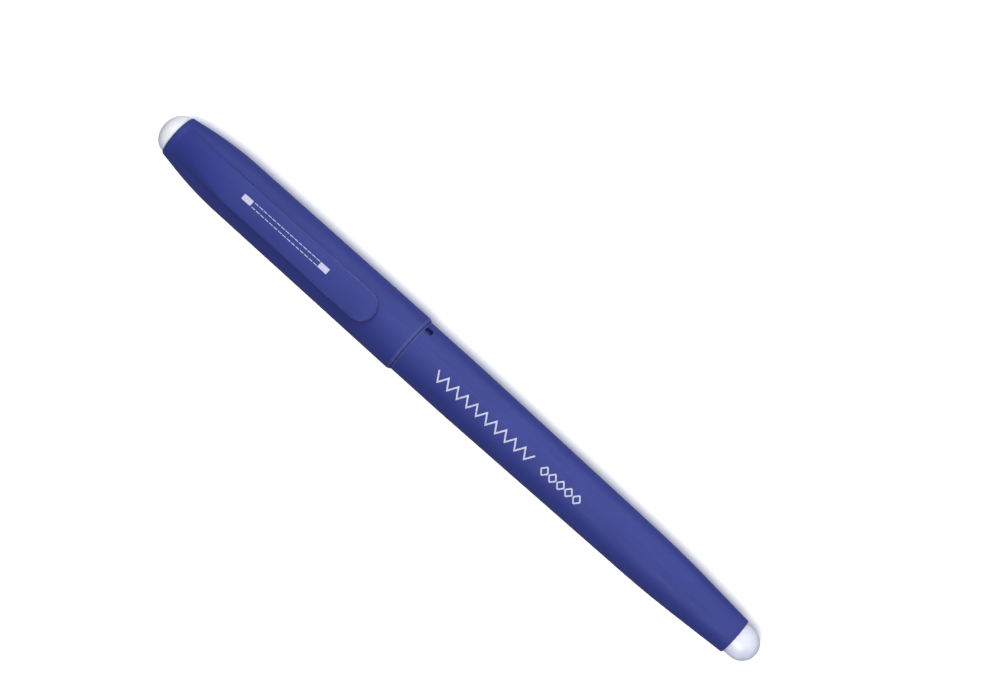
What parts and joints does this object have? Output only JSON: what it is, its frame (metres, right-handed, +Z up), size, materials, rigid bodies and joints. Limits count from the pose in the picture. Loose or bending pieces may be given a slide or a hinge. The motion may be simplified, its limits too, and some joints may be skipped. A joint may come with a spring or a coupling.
{
  "type": "fabric marking pen",
  "caption": "Capped erasable-ink marking pen with a moulded pocket clip and a rubber dome at each end.",
  "frame": {"origin": "under the middle of the pen's box, on the surface that the pen lies on, with the pocket clip up", "axes": "+X along the pen towards the cap's end, which is also where the point writes; +Z up, through the pocket clip; +Y across the pen"},
  "size_m": [0.145, 0.012, 0.0141],
  "materials": {
    "blue_plastic": "satin moulded polypropylene",
    "dark_blue_plastic": "satin moulded plastic",
    "translucent_elastomer": "matte translucent elastomer",
    "grip_rubber": "soft matte, ribbed",
    "natural_plastic": "natural translucent polypropylene",
    "refill_wall": "clear extruded tube",
    "ink": "wet gel",
    "grease": "clear gel",
    "steel": "turned stainless",
    "ball_metal": "ground and polished"
  },
  "bodies": {
    "barrel": {"barrel": "blue_plastic", "end_eraser": "translucent_elastomer"},
    "front_section": {"section_body": "dark_blue_plastic", "grip_sleeve": "grip_rubber", "nose_cone": "blue_plastic", "refill_tube": "refill_wall", "ink_column": "ink", "refill_tail_plug": "blue_plastic", "tip_holder": "natural_plastic", "writing_tip": "steel", "tip_spring": "steel"},
    "ball": {"writing_ball": "ball_metal"},
    "ink_follower": {"follower_grease": "grease", "follower_float": "natural_plastic"},
    "cap": {"cap_shell": "blue_plastic", "inner_cap": "natural_plastic", "tip_seal": "translucent_elastomer", "cap_eraser": "translucent_elastomer"},
    "clip": {"pocket_clip": "blue_plastic"}
  },
  "joints": [
    {"name": "section_pull", "type": "slide", "parent": "barrel", "child": "front_section", "axis": [1, 0, 0], "range_m": [0, 0.08]},
    {"name": "cap_pull", "type": "slide", "parent": "front_section", "child": "cap", "axis": [1, 0, 0], "range_m": [0, 0.06]},
    {"name": "clip_flex", "type": "hinge", "parent": "cap", "child": "clip", "pos_m": [0.0529, 0, 0.01315], "axis": [0, 1, 0], "range_deg": [0, 5], "stiffness_Nm_per_rad": 0.3},
    {"name": "ball_roll", "type": "hinge", "parent": "front_section", "child": "ball", "pos_m": [0.04915, 0, 0.006], "axis": [0, 1, 0], "continuous": true},
    {"name": "follower_travel", "type": "slide", "parent": "front_section", "child": "ink_follower", "axis": [1, 0, 0], "range_m": [0, 0.055], "deforming": ["ink_column"]}
  ]
}
